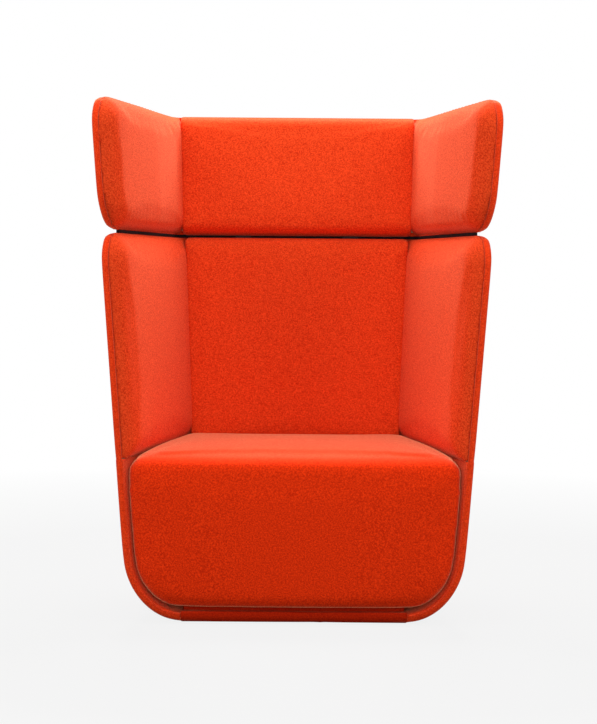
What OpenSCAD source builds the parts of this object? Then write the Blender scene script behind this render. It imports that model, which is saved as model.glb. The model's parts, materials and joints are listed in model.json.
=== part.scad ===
// Acoustic high back lounge chair: a curved upholstered shell with a separate
// winged hood above it and a block seat nested inside. Millimetres, +Z up, front toward -Y.

/* [Shell] */
// Half width of the flat foot of the shell, at the front
foot_half_w = 287; // [250:1:330]
// Depth of the flat foot
foot_depth = 486; // [440:1:540]
// Space between the floor and the shell, where the glides stand
foot_gap = 4; // [2:0.5:8]
// Width that the curved lower corner adds to each side
corner_w = 140; // [110:1:180]
// Height of the curved lower corner
corner_h = 165; // [130:1:220]
// Depth that the curve above the foot adds to the back
back_swell = 32; // [26:1:50]
// Lean of the sides outward, in degrees
flare_deg = 4.5; // [2:0.1:7]
// Turn of the sides toward the back, at the foot, in degrees
splay_low_deg = 12.5; // [9:0.1:14]
// Turn of the sides toward the back, at the top of the shell, in degrees
splay_top_deg = 10.6; // [8:0.1:12]
// Lean of the back, in degrees
recline_deg = 12.4; // [8:0.1:16]
// Height of the top edge of the shell
shell_h = 992; // [900:1:1050]
// Radius of the back corners, seen from above
back_corner_r = 60; // [50:1:90]
// Radius of the upper front corner of each side
side_corner_r = 85; // [60:1:110]

/* [Walls] */
// Thickness of the outer cover with its thin foam
cover_t = 7.7; // [5:0.1:9]
// Width of the rounded edge of the outer cover, up to the seam
edge_w = 20; // [18:0.5:26]
// Thickness of the moulded plywood
ply_t = 12; // [9:0.5:14]
// Thickness of a side wall of the shell
side_wall_t = 55; // [48:0.5:70]
// Thickness of the back wall
back_wall_t = 85; // [75:0.5:110]
// Thickness of the frame inside the back wall
back_frame_t = 25; // [18:0.5:28]
// Rounding along the edges of the pads
pad_round = 33; // [24:0.5:40]
// How far the middle of a pad stands proud
pad_crown = 4; // [0:0.5:8]
// Thickness of the lining beside the seat
lining_t = 4; // [2:0.5:5]

/* [Hood] */
// Gap between the shell and the hood
hood_gap = 8; // [5:0.5:15]
// Height of the hood
hood_h = 352; // [300:1:420]
// How far the hood stands out past the shell on each side
hood_overhang = 6.2; // [0:0.1:12]
// Turn of the wings toward the back, in degrees
wing_splay_deg = 10.6; // [8:0.1:12]
// How far the upper edge of the hood drops toward the front of the wings
wing_drop = 8; // [0:1:20]
// How far the wings stand back from the front of the shell
wing_setback = 20; // [0:1:50]
// Thickness of a wing
wing_wall_t = 60; // [50:0.5:75]
// Radius of the upper front corner of each wing
wing_corner_r = 86; // [50:1:110]
// Radius of the lower front corner of each wing
wing_low_corner_r = 110; // [60:1:130]

/* [Seat] */
// Height of the seat at its sides
seat_h = 434; // [400:1:460]
// Height of the underside of the seat block
seat_under = 44; // [40:1:56]
// Distance from the outside of the shell to the side of the seat block
seat_reveal = 28; // [26:0.5:34]
// How far the middle of the seat top stands proud
seat_crown = 6; // [0:0.5:15]
// How far the front of the seat block stands out
seat_bulge = 10; // [2:0.5:20]
// Rounding of the upper front edge of the seat
seat_edge_r = 28; // [20:1:40]
// Height of the rounding along the sides of the seat top
seat_side_round = 48; // [40:1:60]
// Radius of the upright front corners of the seat block
seat_corner_r = 15; // [10:1:25]
// Thickness of the seat cover
seat_cover_t = 3; // [2:0.5:5]
// Thickness of the foam over the seat springs
seat_foam_t = 128; // [110:1:150]
// Number of seat springs
spring_count = 5; // [3:1:6]
// Loops of each seat spring
spring_loops = 12; // [9:1:14]
// Diameter of the spring wire
spring_wire = 3.8; // [3:0.1:4.5]

/* [Frame] */
// Thickness of the base board
base_t = 26; // [20:0.5:28]
// Thickness of the seat boards
board_t = 18; // [15:0.5:22]
// Width of the back posts
post_w = 55; // [40:1:60]
// Height of the rails in the back and in the hood
rail_h = 45; // [35:1:60]
// Width of the webbing
web_w = 50; // [40:1:60]
// Width of the steel straps that carry the hood
strap_w = 45; // [30:1:50]
// Thickness of the steel straps
strap_t = 5; // [4:0.5:6]
// Reach of the steel straps on each side of the gap
strap_reach = 140; // [110:1:160]
// Radius of a glide
glide_r = 20; // [15:0.5:25]

/* [Hidden] */
clear = 0.3;
rim = 2;
over = 1;
web_t = 1.8;
cloth_t = 1;
facets = 48;

body_colour = "#e8481f";
pad_colour = "#ee4f24";
dark_cloth = "#2b2b2d";
ply_colour = "#d8b582";
wood_colour = "#c99f66";
foam_colour = "#efe3b8";
steel_colour = "#8f959b";
black_plastic = "#1f2022";

hood_z = shell_h + hood_gap;
top_z = hood_z + hood_h;
flare = tan(flare_deg);
lean = tan(recline_deg);
ply_o = cover_t + clear;
ply_in_o = ply_o + ply_t;
pad_o = ply_in_o + clear;
frame_in_o = pad_o + back_frame_t;
web_in_o = frame_in_o + web_t;
back_pad_o = web_in_o + clear;
straight_z = foot_gap + corner_h;
lip = ply_t - clear;
base_z = foot_gap + cloth_t + clear;
base_top = base_z + base_t;
felt_t = 4;
felt_z = seat_h - seat_foam_t - felt_t;
spring_h = felt_z - clear - spring_wire / 2;
spring_top = spring_h - spring_wire / 2;

// Moves the model so that its origin lies under the middle of its outer box
front_y = -seat_bulge;
rear_y = back_line(top_z - lip) - cover_face_o(edge_w, lip);
module place() {
  translate([0, -(front_y + rear_y) / 2, 0]) children();
}

// Rises along a quarter circle from 0 at an edge to 1 at distance r from it
function swell(d, r) = d >= r ? 1 : sqrt(max(0, 1 - pow(1 - d / r, 2)));
// Distance by which a corner of radius r cuts back an edge, at distance d from the other edge
function cut_back(d, r) = d >= r ? 0 : r - sqrt(max(0, r * r - pow(r - d, 2)));

// Half of the plan outline of a wall. s runs 0 to 1 along the front edge zone, to 2 along
// the side, to 3 round the back corner and to 4 along the back to the middle.
function ring_at(s, w, b, turn, r, start, zone) =
  let (
    run = b / cos(turn) - r * tan((90 - turn) / 2),
    d = s <= 1 ? start + s * zone : start + zone + (min(s, 2) - 1) * (run - start - zone),
    side = [w - d * sin(turn), d * cos(turn)],
    mid = [w - run * sin(turn), run * cos(turn)] - r * [cos(turn), sin(turn)],
    a = turn + (90 - turn) * (min(s, 3) - 2)
  )
  s <= 2 ? side : s <= 3 ? mid + r * [cos(a), sin(a)] : [mid.x * (4 - s), b];

// A level of the shell is [angle in the lower corner, height]; o is the depth into the wall
function level_z(l, o) = l[0] < 90 ? straight_z - (corner_h - o) * cos(l[0]) : l[1];
function shell_turn(z) =
  splay_low_deg + (splay_top_deg - splay_low_deg) * (z - foot_gap) / (shell_h - foot_gap);
function shell_w(l, o) =
  let (z = level_z(l, o), k = sin(min(l[0], 90)))
  foot_half_w + (corner_w - o / cos(shell_turn(z))) * k + flare * (z - foot_gap);
function shell_b(l, o) =
  let (k = sin(min(l[0], 90)))
  foot_depth + (back_swell - o) * k + lean * (level_z(l, o) - foot_gap);
function shell_at(l, s, o, start, zone) =
  let (
    z = level_z(l, o),
    r = back_corner_r - o * sin(min(l[0], 90)),
    p = ring_at(s, shell_w(l, o), shell_b(l, o), shell_turn(z), max(r, rim), start, zone)
  )
  [p.x, p.y, z];
function back_line(z) = foot_depth + back_swell + lean * (z - foot_gap);

hood_half_w = foot_half_w + corner_w + flare * (shell_h - foot_gap) + hood_overhang;
function hood_w(z, o) = hood_half_w - o / cos(wing_splay_deg) + flare * (z - hood_z);
// The upper edge of a wing drops in a straight line from the back pad to the front
function hood_drop(z, y) =
  let (reach = back_line(z) - back_wall_t - wing_setback)
  wing_drop * (z - hood_z) / hood_h * (1 - min(1, max(0, y - wing_setback) / reach));
function hood_at(z, s, o, start, zone) =
  let (p = ring_at(s, hood_w(z, o), back_line(z) - o, wing_splay_deg, max(back_corner_r - o, rim),
                   start, zone))
  [p.x, p.y, z - hood_drop(z, p.y)];

// A closed solid between two skins, each a function of a row and a column
module between_skins(rows, cols, front, rear) {
  nr = len(rows);
  nc = len(cols);
  n = nr * nc;
  points = concat(
    [for (r = rows) for (c = cols) front(r, c)],
    [for (r = rows) for (c = cols) rear(r, c)]
  );
  function quad(a, b, c, d) = [[a, b, c], [a, c, d]];
  skin_faces = [
    for (i = [0 : nr - 2])
      for (j = [0 : nc - 2])
        let (a = i * nc + j)
          each concat(
            quad(a, a + 1, a + nc + 1, a + nc),
            quad(n + a, n + a + nc, n + a + nc + 1, n + a + 1)
          )
  ];
  row_rims = [
    for (j = [0 : nc - 2])
      let (a = j, b = (nr - 1) * nc + j)
        each concat(quad(a, n + a, n + a + 1, a + 1), quad(b, b + 1, n + b + 1, n + b))
  ];
  col_rims = [
    for (i = [0 : nr - 2])
      let (a = i * nc, b = i * nc + nc - 1)
        each concat(quad(a, a + nc, n + a + nc, n + a), quad(b, n + b, n + b + nc, b + nc))
  ];
  polyhedron(points, concat(skin_faces, row_rims, col_rims), convexity = 10);
}

// A flat board that leans with the back: a 2D outline in width and slope length from height z,
// between the depths o1 and o2 of the back wall
module leaning(z, o1, o2) {
  translate([0, back_line(z) - o1, z])
    rotate([90 - recline_deg, 0, 0])
      linear_extrude((o2 - o1) * cos(recline_deg))
        children();
}
function slope(z) = z / cos(recline_deg);

module mirrored(side) {
  if (side > 0)
    children();
  else
    mirror([1, 0, 0]) children();
}
module both() {
  children();
  mirror([1, 0, 0]) children();
}

// Stations shared by the covers and pads

// Distances from an edge that follow its rounding, and just inside the lip of the plywood
round_shares = [0, 0.08, 0.25, 0.5, 1];
edge_round_shares = [0, 0.1, 0.3];
edge_stops = concat([for (k = edge_round_shares) k * edge_w], [lip - clear, lip, edge_w]);
corner_angles = [0, 15, 30, 45, 60, 75];
rise_shares = [0.3, 0.55, 0.8];
bend_shares = [0, 0.35, 0.65];
corner_shares = [2, 2.33, 2.67, 3];
side_shares = concat([1.25, 1.5, 1.75], corner_shares);
panel_shares = concat([0, 1, 1.5], corner_shares);
panel_bend_shares = [0, 0.3, 0.6, 0.85, 1];
cover_levels = concat(
  [for (a = corner_angles) [a, 0]],
  [[90, straight_z]],
  [for (k = rise_shares) [90, straight_z + k * (shell_h - side_corner_r - straight_z)]],
  [for (k = bend_shares) [90, shell_h - side_corner_r + k * (side_corner_r - edge_w)]],
  [for (i = [len(edge_stops) - 1 : -1 : 0]) [90, shell_h - edge_stops[i]]]
);
side_cols = concat([for (d = edge_stops) d / edge_w], side_shares);

// Depth of the outer face of a cover, which rounds to the seam at its edges
function cover_face_o(d, e) = (edge_w - rim) * (1 - swell(d, edge_w) * swell(e, edge_w));
function cover_rear_o(d, e) = min(d, e) < lip ? edge_w : cover_t;

module side_cover() {
  between_skins(
    cover_levels, side_cols,
    function (l, s)
      let (z = level_z(l, 0), e = shell_h - z, start = cut_back(e, side_corner_r))
      shell_at(l, s, cover_face_o(min(s, 1) * edge_w, e), start, edge_w),
    function (l, s)
      let (z = level_z(l, 0), e = shell_h - z, start = cut_back(e, side_corner_r))
      shell_at(l, s, cover_rear_o(s * edge_w, e), start, edge_w)
  );
}

module back_skin(levels, o_front, o_rear, cols, gap) {
  between_skins(
    levels, cols,
    function (l, c)
      let (p = shell_at(l, 3, o_front(l), 0, edge_w))
      [c * (p.x - gap), p.y, p.z],
    function (l, c)
      let (p = shell_at(l, 3, o_rear(l), 0, edge_w))
      [c * (p.x - gap), p.y, p.z]
  );
}

panel_bend = side_corner_r - ply_t;
panel_levels = concat(
  [for (a = corner_angles) [a, 0]],
  [[90, straight_z]],
  [for (k = rise_shares) [90, straight_z + k * (shell_h - side_corner_r - straight_z)]],
  [for (k = panel_bend_shares) [90, shell_h - side_corner_r + k * panel_bend]]
);
module side_panel() {
  function start(l) = ply_t + cut_back(shell_h - ply_t - level_z(l, 0), panel_bend);
  between_skins(
    panel_levels, panel_shares,
    function (l, s) shell_at(l, s, ply_o, start(l), edge_w),
    function (l, s) shell_at(l, s, ply_in_o, start(l), edge_w)
  );
}

module side_lining() {
  levels = concat(
    [for (a = corner_angles) [a, 0]],
    [[90, straight_z], [90, (straight_z + pad_low) / 2], [90, pad_low - clear]]
  );
  between_skins(
    levels, [0, 0.5, 1, 1.5, 2],
    function (l, s) shell_at(l, s, pad_o, rim, edge_w),
    function (l, s) shell_at(l, s, pad_o + lining_t * (s > 0 ? 1 : 0.5), rim, edge_w)
  );
}

// The seat rounding runs from the reveal to the inside of the side pads
seat_round_w = side_wall_t + clear - seat_reveal;
function seat_side_o(z) =
  let (k = max(0, z - seat_h + seat_side_round) / seat_side_round)
  seat_reveal + seat_round_w * (1 - sqrt(max(0, 1 - k * k)));
// The side pads start part way up the seat rounding and hug it above
seat_round_shares = [0.3, 0.64, 0.8, 0.92, 0.98, 1];
pad_hug_shares = [for (i = [1 : len(seat_round_shares) - 1]) seat_round_shares[i]];
function seat_round_z(k) = seat_h - seat_side_round * (1 - k);
pad_low = seat_round_z(pad_hug_shares[0]);
pad_full_z = seat_h + 2 * clear;
function pad_hug_o(z) = z >= pad_full_z ? side_wall_t : seat_side_o(min(z, seat_h)) - 2 * clear;

// Stations of a side pad. Its outer skin goes round the back corner, and its inner skin stops
// at the inner corner, so that the end between them is a mitre.
mitre_share = 1.85;
pad_shares = concat(round_shares, [1.2, 1.4, 1.6, mitre_share], corner_shares);
function mitred(s) =
  s <= mitre_share ? s : mitre_share + (s - mitre_share) * (2 - mitre_share) / (3 - mitre_share);

pad_rise_shares = [0.15, 0.35, 0.6, 0.8];
function pad_crown_at(s, z, low, high) =
  s <= 1 || s >= 2 ? 0 : pad_crown * sin(180 * (s - 1)) * sin(180 * (z - low) / (high - low));

module side_pad() {
  heights = concat(
    [for (k = pad_hug_shares) seat_round_z(k)],
    [pad_full_z],
    [for (k = pad_rise_shares) pad_full_z + k * (shell_h - side_corner_r - pad_full_z)],
    [for (k = bend_shares) shell_h - side_corner_r + k * (side_corner_r - pad_round)],
    [for (i = [len(round_shares) - 1 : -1 : 0]) shell_h - pad_round * round_shares[i]]
  );
  function start(z) = cut_back(shell_h - z, side_corner_r);
  function full_o(s, z) = min(pad_hug_o(z), side_wall_t) + pad_crown_at(s, z, pad_full_z, shell_h);
  function fade(s, z) = swell(min(s, 1) * pad_round, pad_round) * swell(shell_h - z, pad_round);
  between_skins(
    heights, pad_shares,
    function (z, s) shell_at([90, z], s, pad_o, start(z), pad_round),
    function (z, s)
      let (o = pad_o + rim + (max(full_o(s, z), pad_o + rim) - pad_o - rim) * fade(s, z))
      shell_at([90, z], mitred(s), o, start(z), pad_round)
  );
}

// Half width at depth o of the mitre that runs from the cover to the inner corner of the pads
function mitre_x(outer, inner, o) =
  outer + (inner - outer) * (o - pad_o) / (back_corner_r - pad_o) - mitre_gap;
// Inner face of a side pad, at height z and depth y
function pad_face_x(z, y) =
  let (a = shell_turn(z)) shell_w([90, z], side_wall_t) - y * tan(a);
function wing_face_x(z, y) = hood_w(z, wing_wall_t) - y * tan(wing_splay_deg);

across_shares = [-1, -0.96, -0.8, -0.4, 0, 0.4, 0.8, 0.96, 1];
function across_crown(c) = 1 - pow(c, 4);
// Past the frame, the edges of the back pads reach back to the cover
tuck = ply_t + edge_w / 2;
strap_o = pad_o + strap_t + clear;
function tucked_o(e, o) = e < tuck ? o : back_pad_o;
mitre_gap = rim + clear;
// Stations near an upper edge, from the inside out
function edge_heights(high) = concat(
  [high - pad_round, high - tuck, high - tuck + clear],
  [for (i = [len(round_shares) - 2 : -1 : 0]) high - pad_round * round_shares[i]]
);

module back_pad() {
  low = pad_low;
  heights = concat(
    [low, (low + pad_full_z) / 2, pad_full_z],
    [for (k = pad_rise_shares) pad_full_z + k * (shell_h - pad_round - pad_full_z)],
    edge_heights(shell_h)
  );
  function rear_o(z) = tucked_o(shell_h - z, strap_o);
  function face_o(c, z) =
    let (full = back_wall_t - back_pad_o - rim, up = (z - pad_full_z) / (shell_h - pad_full_z))
    back_pad_o + rim + full * swell(shell_h - z, pad_round)
      + (up > 0 ? pad_crown * across_crown(c) * sin(180 * up) : 0)
      - (abs(c) == 1 ? rim / 2 : 0);
  place() color(pad_colour) between_skins(
    heights, across_shares,
    function (z, c)
      [c * mitre_x(back_half(z), pad_face_x(z, back_line(z) - back_corner_r), rear_o(z)),
       back_line(z) - rear_o(z), z],
    function (z, c)
      [c * (pad_face_x(z, back_line(z) - back_wall_t) - 2 * clear), back_line(z) - face_o(c, z), z]
  );
}

module back_cover() {
  place() color(body_colour) {
      back_skin(
        cover_levels,
        function (l) cover_face_o(edge_w, shell_h - level_z(l, 0)),
        function (l) cover_rear_o(edge_w, shell_h - level_z(l, 0)),
        [-1, 0, 1], clear
      );
  }
}

strap_share = 0.55;
strap_x = foot_half_w * strap_share;
bolt_shares = [0.26, 0.86];
// Distance from the gap to the middle between two bolts, where a rail crosses the strap
between_bolts = strap_reach * (bolt_shares[0] + bolt_shares[1]) / 2;
bolt_r = 4;
bolt_head_r = 8;
bolt_head_h = 5;
// How far a strap bolt climbs on its way through the plywood
bolt_lift = (pad_o - ply_o) * sin(recline_deg);
// Places of the strap bolts: height and depth of the plywood outside
module at_strap_bolts(up, down) {
  for (k = bolt_shares) {
    if (up) strap_spot(hood_z + k * strap_reach) children();
    if (down) strap_spot(shell_h - k * strap_reach) children();
  }
}
module strap_spot(z) {
  both()
    translate([strap_x, back_line(z) - ply_o, z])
      rotate([90 - recline_deg, 0, 0])
        children();
}

module back_panel() {
  place()
    color(ply_colour)
      difference() {
        back_skin(panel_levels, function (l) ply_o, function (l) ply_in_o, [-1, 1], clear);
        at_strap_bolts(false, true)
          translate([0, 0, -over])
            cylinder(r = bolt_r + clear, h = ply_t + 2 * over, $fn = facets);
      }
}

// Height where the curve above the foot has died out enough for the flat frame
frame_drop_share = 0.3;
frame_off_share = 0.05;
frame_low = straight_z - corner_h * frame_drop_share;
frame_o = pad_o + back_swell * frame_off_share;
post_top = shell_h - ply_t - edge_w;

function back_half(z) = shell_at([90, z], 3, 0, 0, edge_w).x;

module post_outline(low, high, half) {
  polygon([
    [half(low) - post_w, 0],
    [half(low) - rim, 0],
    [half(high) - rim, slope(high - low)],
    [half(high) - post_w, slope(high - low)]
  ]);
}

module back_posts() {
  place() color(wood_colour) {
      both()
        leaning(frame_low, frame_o, frame_in_o)
          post_outline(frame_low, post_top, function (z) back_half(z));
  }
}

back_rail_shares = [0.02, 0.42];
strap_rail_z = shell_h - between_bolts + bolt_lift - rail_h / 2;
module rail_between(z, half) {
  leaning(z, frame_o + strap_t, frame_in_o)
    polygon([
      [-half(z) + post_w + clear, 0],
      [half(z) - post_w - clear, 0],
      [half(z + rail_h) - post_w - clear, slope(rail_h)],
      [-half(z + rail_h) + post_w + clear, slope(rail_h)]
    ]);
}
module back_rails() {
  place() color(wood_colour) {
      for (k = back_rail_shares)
        rail_between(frame_low + k * (post_top - frame_low), function (z) back_half(z));
      rail_between(strap_rail_z, function (z) back_half(z));
  }
}

back_web_shares = [0.42, 0.56, 0.7, 0.84];
module back_webbing() {
  place() color(dark_cloth) {
      for (k = back_web_shares)
        let (z = frame_low + k * (post_top - frame_low))
          leaning(z, frame_in_o, web_in_o)
            polygon([
              [-back_half(z) + web_t, 0],
              [back_half(z) - web_t, 0],
              [back_half(z) - web_t, web_w],
              [-back_half(z) + web_t, web_w]
            ]);
  }
}

// Base

function foot_ring(o, start) = [
  for (s = concat([0], corner_shares))
    ring_at(s, foot_half_w - o, foot_depth - o, splay_low_deg, back_corner_r - o, start, edge_w)
];
module foot_outline(o, start) {
  half = foot_ring(o, start);
  n = len(half);
  polygon(concat(half, [for (i = [n - 1 : -1 : 0]) [-half[i].x, half[i].y]]));
}

glide_in = 45;
glide_front_y = edge_w + glide_in;
glide_back_y = foot_depth - glide_in;
function glide_x(y) = foot_half_w - y * tan(splay_low_deg) - glide_in;
module at_glides() {
  for (y = [glide_front_y, glide_back_y])
    both()
      translate([glide_x(y), y, 0])
        children();
}
screw_r = 2;
screw_head_r = 4.5;
screw_head_h = 2.4;
screw_len = 16;
seat_bolt_len = base_t + board_t;

module glides() {
  place()
    color(black_plastic)
      at_glides()
        difference() {
          union() {
            cylinder(r1 = glide_r - rim, r2 = glide_r, h = rim, $fn = facets);
            translate([0, 0, rim])
              cylinder(r = glide_r, h = base_z - rim, $fn = facets);
          }
          translate([0, 0, -over])
            cylinder(r = screw_r + clear, h = base_z + 2 * over, $fn = facets);
          translate([0, 0, -over])
            cylinder(r = screw_head_r + clear, h = screw_head_h + over, $fn = facets);
        }
}

module glide_screws() {
  place()
    color(steel_colour)
      at_glides() {
        translate([0, 0, cloth_t])
          cylinder(r = screw_head_r, h = screw_head_h - cloth_t, $fn = facets);
        translate([0, 0, screw_head_h - over])
          cylinder(r = screw_r, h = screw_len, $fn = facets);
      }
}

seat_front_y = seat_edge_r + board_t;
bolt_x_share = 0.62;
seat_bolt_back_y = back_line(base_top) - back_wall_t - seat_cover_t - board_t / 2;
module at_seat_bolts() {
  for (y = [seat_front_y - board_t / 2, seat_bolt_back_y])
    both()
      translate([bolt_x_share * (foot_half_w - y * tan(splay_low_deg)), y, 0])
        children();
}

module base_board() {
  place()
    color(ply_colour)
      difference() {
        translate([0, 0, base_z])
          linear_extrude(base_top - base_z)
            foot_outline(clear, (edge_w + clear) / cos(splay_low_deg));
        at_glides()
          cylinder(r = screw_r + clear, h = screw_head_h + screw_len + over, $fn = facets);
        at_seat_bolts() {
          cylinder(r = bolt_r + clear, h = base_top + over, $fn = facets);
          cylinder(r = bolt_head_r + clear, h = base_z + bolt_head_h + clear, $fn = facets);
        }
      }
}

band_flange = 2 * edge_w;
module dust_cover() {
  place()
    color(dark_cloth)
      translate([0, 0, foot_gap])
        linear_extrude(cloth_t)
          difference() {
            foot_outline(edge_w / 2, (band_flange + clear) / cos(splay_low_deg));
            at_glides() circle(r = glide_r + clear, $fn = facets);
            at_seat_bolts() circle(r = bolt_head_r + clear, $fn = facets);
          }
}

// Front edge of the foot, rounded like the edges of the side covers. Its upper end turns up in
// front of the seat's front board.
module base_front_band() {
  steps = 8;
  arc = [for (i = [0 : steps]) edge_w * [1 - sin(90 * i / steps), 1 - cos(90 * i / steps)]];
  board = base_top - foot_gap + clear;
  band = board + cloth_t;
  turned_up = seat_under - foot_gap - clear;
  board_y = seat_front_y - board_t - clear;
  profile = concat(
    [[rim, band], [0, band - rim]],
    [for (i = [steps : -1 : 0]) arc[i]],
    [
      [band_flange, 0], [band_flange, cloth_t], [edge_w, cloth_t], [edge_w, board],
      [board_y, board], [board_y, turned_up], [board_y - cloth_t, turned_up],
      [board_y - cloth_t, band]
    ]
  );
  place()
    color(body_colour)
      intersection() {
        translate([-foot_half_w, 0, foot_gap])
          rotate([90, 0, 90])
            linear_extrude(2 * foot_half_w)
              polygon(profile);
        linear_extrude(seat_under)
          foot_outline(clear, 0);
      }
}

// Seat

function seat_level_z(l) = l[0] < 90
  ? straight_z - (straight_z - seat_under) * cos(l[0]) : l[1];
function seat_w(l, g) =
  let (z = seat_level_z(l), k = sin(min(l[0], 90)), oblique = cos(shell_turn(z)))
  foot_half_w + (corner_w - seat_reveal / oblique) * k + flare * (z - foot_gap)
    - (seat_side_o(z) - seat_reveal + g) / oblique;
seat_low_edge_share = 0.7;
function seat_front_cut(z) =
  cut_back(seat_h - z, seat_edge_r) + cut_back(z - seat_under, seat_edge_r * seat_low_edge_share);
function seat_rear(z) = back_line(z) - back_wall_t - clear;

// Half of the plan outline of the seat block. q runs 0 to 1 along the front, to 2 round the
// front corner, to 3 along the side, to 4 round the back corner and to 5 along the back.
function seat_at(q, l, g) =
  let (
    z = seat_level_z(l),
    turn = shell_turn(z),
    w = seat_w(l, g),
    f = seat_front_cut(z) + g,
    b = seat_rear(z) - g,
    r = seat_corner_r,
    fc = [w - r / cos(turn) - (f + r) * tan(turn), f + r],
    bc = [w - r / cos(turn) - (b - r) * tan(turn), b - r],
    a = q <= 2 ? -90 + (90 + turn) * (q - 1) : turn + (90 - turn) * (q - 3),
    out = [cos(turn), sin(turn)]
  )
  q <= 1 ? [fc.x * q, f - seat_bulge * (1 - pow(q, 3))]
  : q <= 2 ? fc + r * [cos(a), sin(a)]
  : q <= 3 ? (fc + r * out) * (3 - q) + (bc + r * out) * (q - 2)
  : q <= 4 ? bc + r * [cos(a), sin(a)]
  : [bc.x * (5 - q), b];

seat_shares = [0, 0.4, 0.75, 0.95, 1.25, 1.5, 1.75, 2, 2.15, 2.4, 2.7, 3, 3.5, 4, 4.5, 5];
function seat_ring(l, g, drop) =
  let (
    half = [for (q = seat_shares) seat_at(q, l, g)],
    n = len(half),
    z = seat_level_z(l) - drop
  )
  concat(
    [for (p = half) [p.x, p.y, z]],
    [for (i = [n - 2 : -1 : 1]) [-half[i].x, half[i].y, z]]
  );
// Rings that draw in toward the middle of the seat top and rise with its crown
seat_in_shares = [0.93, 0.78, 0.55, 0.28];
function seat_top_rings(g) =
  let (
    edge = seat_ring([90, seat_h], g, g),
    mid = [0, (front_y + seat_rear(seat_h)) / 2]
  )
  [
    for (k = seat_in_shares)
      [for (p = edge) [p.x * k, mid.y + (p.y - mid.y) * k, p.z + seat_crown * (1 - k * k)]]
  ];
seat_levels = concat(
  [for (a = [0, 12, 25, 40, 56, 73]) [a, 0]],
  [[90, straight_z], [90, seat_h - seat_side_round]],
  [for (k = seat_round_shares) [90, seat_round_z(k)]]
);
function seat_rings(g) =
  concat([for (l = seat_levels) seat_ring(l, g, l[1] > straight_z ? g : 0)], seat_top_rings(g));
function seat_tip(g) = [0, (front_y + seat_rear(seat_h)) / 2, seat_h - g + seat_crown];

function ring_sides(first, count, n) = [
  for (i = [0 : count - 2])
    for (j = [0 : n - 1])
      let (a = first + i * n + j, b = first + i * n + (j + 1) % n)
        each [[a, a + n, b + n], [a, b + n, b]]
];
function tip_faces(first, tip, n) =
  [for (j = [0 : n - 1]) [first + j, tip, first + (j + 1) % n]];
function turned(faces) = [for (f = faces) [f[2], f[1], f[0]]];

module seat_skin() {
  outer = seat_rings(0);
  inner = seat_rings(seat_cover_t);
  n = len(outer[0]);
  m = len(outer);
  points = concat(
    [for (r = outer) each r], [seat_tip(0)],
    [for (r = inner) each r], [seat_tip(seat_cover_t)]
  );
  second = n * m + 1;
  rim_faces = [
    for (j = [0 : n - 1])
      let (k = (j + 1) % n)
        each [[j, k, second + k], [j, second + k, second + j]]
  ];
  polyhedron(
    points,
    concat(
      ring_sides(0, m, n), tip_faces((m - 1) * n, m * n, n),
      turned(ring_sides(second, m, n)), turned(tip_faces(second + (m - 1) * n, second + m * n, n)),
      rim_faces
    ),
    convexity = 10
  );
}

module seat_filling(g) {
  rings = seat_rings(g);
  n = len(rings[0]);
  m = len(rings);
  points = concat([for (r = rings) each r], [seat_tip(g), [0, front_y + seat_edge_r * 2, seat_under]]);
  polyhedron(
    points,
    concat(
      ring_sides(0, m, n), tip_faces((m - 1) * n, m * n, n), turned(tip_faces(0, m * n + 1, n))
    ),
    convexity = 10
  );
}

frame_in = seat_cover_t + board_t;
rail_w = seat_w([90, straight_z], frame_in);
rail_turn = shell_turn(straight_z);
seat_back_o = back_wall_t + seat_cover_t + 2 * clear;
module well_outline() {
  f = seat_front_y - board_t - clear;
  b = seat_rear(felt_z + felt_t) + over;
  w = seat_w([90, spring_top], frame_in) + clear;
  polygon([
    [w - f * tan(rail_turn), f], [w - b * tan(rail_turn), b],
    [-w + b * tan(rail_turn), b], [-w + f * tan(rail_turn), f]
  ]);
}

module seat_foam() {
  place()
    color(foam_colour)
      difference() {
        seat_filling(seat_cover_t + clear);
        translate([0, 0, -over])
          linear_extrude(felt_z + felt_t + clear + over)
            well_outline();
      }
}

module seat_cover() {
  place() color(pad_colour) seat_skin();
}

// Outline of an upright board whose lower corners follow the curve of the seat block
module seat_board_outline(turn_in, low, up) {
  steps = 8;
  function at(l) = [seat_w(l, frame_in) - turn_in, up(seat_level_z(l))];
  foot = at([0, 0]);
  right = concat(
    [[foot.x, up(low)]],
    [for (i = [0 : steps]) at([90 * i / steps, straight_z])],
    [at([90, spring_top])]
  );
  n = len(right);
  polygon(concat(right, [for (i = [n - 1 : -1 : 0]) [-right[i].x, right[i].y]]));
}

module seat_bolt_holes() {
  at_seat_bolts()
    cylinder(r = bolt_r + clear, h = base_z + seat_bolt_len + clear, $fn = facets);
}
module seat_front_board() {
  place()
    color(ply_colour)
      difference() {
        translate([0, seat_front_y, 0])
          rotate([90, 0, 0])
            linear_extrude(board_t)
              seat_board_outline(seat_front_y * tan(rail_turn), base_top, function (z) z);
        seat_bolt_holes();
      }
}
module seat_back_board() {
  half = foot_half_w + corner_w;
  depth = back_line(spring_top);
  place()
    color(ply_colour)
      difference() {
        leaning(base_z, seat_back_o, seat_back_o + board_t)
          seat_board_outline(
            seat_rear(spring_top) * tan(rail_turn), base_z, function (z) slope(z - base_z));
        translate([-half, 0, spring_top]) cube([2 * half, depth, board_t]);
        translate([-half, 0, 0]) cube([2 * half, depth, base_top]);
        seat_bolt_holes();
      }
}

seat_rail_h = 70;
module seat_side_rails() {
  front = seat_front_y + clear;
  back = back_line(spring_top - seat_rail_h) - seat_back_o - board_t - clear;
  function side(y) = rail_w - y * tan(rail_turn);
  place()
    color(wood_colour)
      both()
        translate([0, 0, spring_top - seat_rail_h])
          linear_extrude(seat_rail_h)
            polygon([
              [side(front), front], [side(back), back],
              [side(back) - board_t, back], [side(front) - board_t, front]
            ]);
}

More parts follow.
